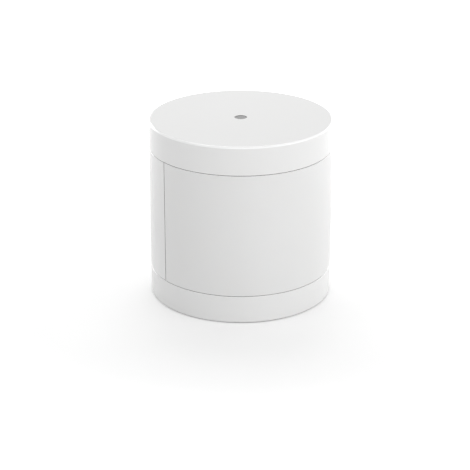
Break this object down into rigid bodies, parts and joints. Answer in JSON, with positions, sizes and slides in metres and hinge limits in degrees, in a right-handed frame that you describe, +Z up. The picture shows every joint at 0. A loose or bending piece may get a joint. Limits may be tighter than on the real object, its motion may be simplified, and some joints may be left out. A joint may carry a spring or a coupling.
{
  "type": "motion detector",
  "caption": "Small round battery-powered infrared motion detector: a flat-topped white cylinder whose sleeve carries a half-round lens and twists off its base.",
  "frame": {"origin": "centre of the foot, on the surface that the detector stands on", "axes": "+Z up along the case's axis, -Y the way the lens looks, +X to the right seen from the front"},
  "size_m": [0.047, 0.047, 0.047],
  "materials": {
    "case_plastic": "satin white moulded ABS",
    "lens_plastic": "white polyethylene, faintly translucent",
    "clear_plastic": "polished clear polycarbonate over a dark lamp",
    "zinc_steel": "zinc-plated steel",
    "screw_steel": "nickel-plated screw steel",
    "inner_plastic": "light grey ABS",
    "holder_plastic": "black nylon",
    "cell_wrap": "plain dark shrink wrap",
    "cell_steel": "nickel-plated steel",
    "contact_steel": "nickel-plated spring steel",
    "circuit_board": "green solder resist on glass fibre",
    "header_gold": "gold-plated header",
    "sensor_metal": "nickel-plated can",
    "sensor_filter": "dark infrared filter",
    "guard_rubber": "soft black rubber",
    "lamp_epoxy": "clear epoxy",
    "shield_metal": "tinned sheet",
    "chip_epoxy": "black moulding compound",
    "ceramic": "fired ceramic",
    "capacitor_metal": "plain aluminium can",
    "copper_wire": "enamelled copper wire",
    "switch_plastic": "black nylon",
    "plunger_plastic": "white acetal"
  },
  "bodies": {
    "base_module": {"base_cup": "case_plastic", "mounting_plate": "zinc_steel", "chassis": "inner_plastic", "chassis_screws": "screw_steel", "board_screws": "screw_steel", "main_board": "circuit_board", "battery_holder": "holder_plastic", "battery_cell": "cell_wrap", "battery_terminal": "cell_steel", "positive_contact": "contact_steel", "negative_contact": "contact_steel", "battery_spring": "contact_steel", "sensor_header": "header_gold", "sensor_can": "sensor_metal", "sensor_filter": "sensor_filter", "insect_guard": "guard_rubber", "status_led": "lamp_epoxy", "radio_shield": "shield_metal", "microcontroller": "chip_epoxy", "crystal": "sensor_metal", "capacitors": "ceramic", "resistors": "chip_epoxy", "reservoir_capacitor": "capacitor_metal", "thermistor": "ceramic", "antenna_coil": "copper_wire", "tamper_switch": "switch_plastic", "pairing_switch": "switch_plastic"},
    "sleeve": {"rear_housing": "case_plastic", "fresnel_lens": "lens_plastic", "top_cap": "case_plastic", "light_pipe": "clear_plastic"},
    "tamper_pin": {"tamper_plunger": "plunger_plastic"},
    "button": {"pairing_button": "plunger_plastic"}
  },
  "joints": [
    {"name": "sleeve_turn", "type": "hinge", "parent": "base_module", "child": "sleeve", "pos_m": [0, 0, 0], "axis": [0, 0, 1], "range_deg": [0, 22]},
    {"name": "tamper_press", "type": "slide", "parent": "base_module", "child": "tamper_pin", "axis": [1, 0, 0], "range_m": [0, 0.0008]},
    {"name": "pairing_press", "type": "slide", "parent": "base_module", "child": "button", "axis": [0, 1, 0], "range_m": [0, 0.00025], "stiffness_N_per_m": 800, "springref_m": -0.0002}
  ],
  "couplings": [
    {"joint": "tamper_press", "follows": "sleeve_turn", "m_per_rad": 0.0020834}
  ]
}
